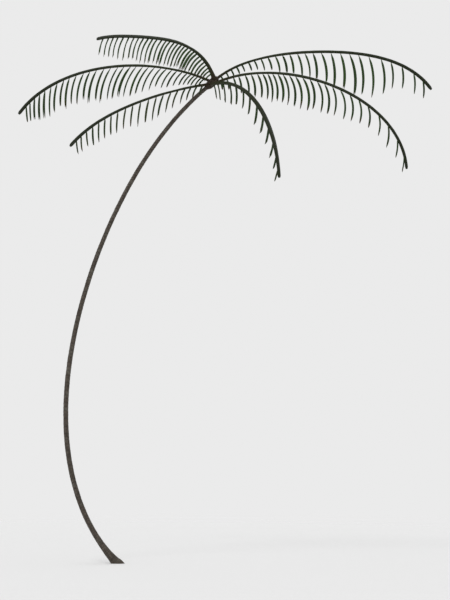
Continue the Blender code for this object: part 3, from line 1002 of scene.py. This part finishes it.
def leaflet_kinds(frond, chance):
    """Deals one leaflet its green, by the frond's age, and its dry tip: kind_of(row, column)."""
    tone = frond.age * (len(GREENS) - 1) * AGE_SHIFT + chance.gauss(*TONE_SPREAD)
    green = min(max(round(tone), 0), len(GREENS) - 1)
    midrib, foot, turning, dry = range(len(GREENS), len(GREENS) + 4)
    last = len(BLADE_SECTIONS) - 1
    dry_rows = chance.choice(DRY_ROWS) + round(frond.age * chance.uniform(0, OLD_DRY_ROWS))
    turning_rows = dry_rows + (dry_rows > 0)

    def kind_of(row, column):
        if row > last - dry_rows:
            return dry
        if row > last - turning_rows:
            return turning
        if row < FOOT_ROWS:
            return foot
        return midrib if column in MIDRIB_COLUMNS else green

    return kind_of


def box_of(corners):
    return [(min(values), max(values)) for values in zip(*corners)]


def boxes_meet(first, second):
    pairs = zip(first, second)
    return all(low <= other_high and other_low <= high for (low, high), (other_low, other_high) in pairs)


def coarse_tree(rings, tip):
    """A search tree of every second section of a blade, grown a little."""
    skin = Skin()
    grown = []
    for ring in rings[1::2]:
        middle = sum(ring, Vector()) / len(ring)
        corners = [ring[number] for number in EDGES_AND_MIDRIB]
        grown.append([corner + (corner - middle).normalized() * CLEAR_OF_OTHERS for corner in corners])
    skin.add_loft(grown, lambda row, column: 0, tip)
    return box_of(skin.corners), BVHTree.FromPolygons(skin.corners, skin.faces)


def make_leaflets(frond, index, path, materials, others):
    """All leaflets of one frond, joined. One that meets another frond tries again, then stays off."""
    shared = random.Random(SET_SEED + frond.set)
    own = random.Random(FROND_SEED + index)
    place = frond_place(frond)
    skin = Skin()
    trees = []
    left_off = 0
    for share in leaflet_shares(frond, shared):
        rib_way = rib_heading(frond)(share)
        pair_length = broken(frond.leaf, share) * (1 + shared.uniform(-LENGTH_JITTER, LENGTH_JITTER))
        pair_lean = shared.uniform(-LEAN_JITTER, LEAN_JITTER)
        for side in (1, -1):
            for _ in range(TRIES):
                length = pair_length * (1 + own.uniform(-OWN_JITTER, OWN_JITTER))
                lean = pair_lean + own.uniform(-OWN_JITTER, OWN_JITTER)
                twist = own.uniform(-TWIST, TWIST)
                spine = leaflet_spine(frond, path, share, side, lean, length)
                width = frond.width * (SHORTEST_WIDTH + (1 - SHORTEST_WIDTH) * length / max(frond.leaf))
                rings = blade_rings(spine, rib_way, side, twist, width, length)
                rings = [[place @ corner for corner in ring] for ring in rings]
                tip = place @ spine[-1]
                box, tree = coarse_tree(rings, tip)
                if not any(boxes_meet(box, other) and tree.overlap(space) for other, space in others):
                    skin.add_loft(rings, leaflet_kinds(frond, own), tip)
                    trees.append((box, tree))
                    break
            else:
                left_off += 1
    print(frond.name, "leaflets left off:", left_off)
    leaflets = skin.made(frond.name.replace("frond", "leaflets"), materials, sharp=35)
    return leaflets, trees


def make_fronds():
    """Every rib first, and then the leaflets, which keep clear of all but their own rib."""
    rib_look = rib_material()
    leaf_looks = leaf_materials()
    spaces = {name: [solid_space(name)] for name in ("trunk", "crown_heart")}
    paths = []
    for frond in FRONDS:
        path = walk((0, 0, 0), frond.length, PATH_STEPS, rib_heading(frond))
        rib, tree = make_rib(frond, path, rib_look)
        hand_in(rib, "frond_green", *nodes_of(frond))
        spaces[frond.name] = [(box_of([vertex.co for vertex in rib.data.vertices]), tree)]
        paths.append(path)
    for index, (frond, path) in enumerate(zip(FRONDS, paths)):
        others = [space for owner, kept in spaces.items() if owner != frond.name for space in kept]
        leaflets, trees = make_leaflets(frond, index, path, leaf_looks, others)
        hand_in(leaflets, "frond_green", *nodes_of(frond))
        spaces[frond.name].extend(trees)


def solid_space(node):
    """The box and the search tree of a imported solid."""
    mesh = bpy.data.objects[node].data
    corners = [vertex.co.copy() for vertex in mesh.vertices]
    return box_of(corners), BVHTree.FromPolygons(corners, [face.vertices for face in mesh.polygons])


def nodes_of(frond):
    if frond.name in WHOLE_FRONDS:
        return [frond.name]
    return [frond.name + "_inner", frond.name + "_outer"]


# Stage, light and camera


def make_stage():
    """A pale floor that melts into the world round it."""
    shape = bmesh.new()
    bmesh.ops.create_circle(shape, cap_ends=True, segments=FLOOR_SIDES, radius=FLOOR_RADIUS)
    mesh = bpy.data.meshes.new("floor")
    shape.to_mesh(mesh)
    shape.free()
    floor = bpy.data.objects.new("floor", mesh)
    floor.location.z = -FLOOR_DROP
    bpy.context.scene.collection.objects.link(floor)
    nodes = Nodes("pale_floor")
    nodes.shader.inputs["Base Color"].default_value = (FLOOR_TONE, FLOOR_TONE, FLOOR_TONE, 1.0)
    nodes.shader.inputs["Roughness"].default_value = FLOOR_ROUGHNESS
    tree = nodes.tree
    place = tree.nodes.new("ShaderNodeTexCoord")
    distance = tree.nodes.new("ShaderNodeVectorMath")
    distance.operation = "LENGTH"
    nodes.join(place.outputs["Object"], distance.inputs[0])
    fade = tree.nodes.new("ShaderNodeMapRange")
    fade.interpolation_type = "SMOOTHSTEP"
    fade.inputs["From Min"].default_value = FLOOR_FADE[0]
    fade.inputs["From Max"].default_value = FLOOR_FADE[1]
    nodes.join(distance.outputs["Value"], fade.inputs["Value"])
    clear = tree.nodes.new("ShaderNodeBsdfTransparent")
    blend = tree.nodes.new("ShaderNodeMixShader")
    nodes.join(fade.outputs["Result"], blend.inputs["Fac"])
    nodes.join(nodes.shader.outputs["BSDF"], blend.inputs[1])
    nodes.join(clear.outputs["BSDF"], blend.inputs[2])
    nodes.join(blend.outputs["Shader"], tree.nodes["Material Output"].inputs["Surface"])
    mesh.materials.append(nodes.material)


def make_light():
    scene = bpy.context.scene
    world = bpy.data.worlds.new("studio")
    world.use_nodes = True
    background = world.node_tree.nodes["Background"]
    background.inputs["Color"].default_value = (PAPER_LIGHT, PAPER_LIGHT, PAPER_LIGHT, 1.0)
    background.inputs["Strength"].default_value = 1.0
    scene.world = world
    light = bpy.data.lights.new("soft_sun", "SUN")
    light.energy = SUN_STRENGTH
    light.angle = SUN_SIZE
    sun = bpy.data.objects.new("soft_sun", light)
    sun.rotation_euler = SUN_TURN
    scene.collection.objects.link(sun)
    scene.view_settings.view_transform = "Standard"


def make_camera():
    """Looks level along +Y, with the foot of the trunk on its pixel in the photograph."""
    sideways = (IMAGE_WIDTH / 2 - FOOT_PIXEL[0]) / PIXELS_PER_METRE
    height = (FOOT_PIXEL[1] - IMAGE_HEIGHT / 2) / PIXELS_PER_METRE
    lens = bpy.data.cameras.new("camera")
    lens.sensor_width = SENSOR
    lens.lens = SENSOR * CAMERA_DISTANCE * PIXELS_PER_METRE / IMAGE_HEIGHT
    lens.clip_end = CLIP_DISTANCE
    camera = bpy.data.objects.new("camera", lens)
    camera.location = (sideways, -CAMERA_DISTANCE, height)
    camera.rotation_euler = (math.radians(90), 0, 0)
    bpy.context.scene.collection.objects.link(camera)
    bpy.context.scene.camera = camera


make_camera()
make_light()
make_stage()
make_trunk()
make_heart()
make_strands()
make_fronds()
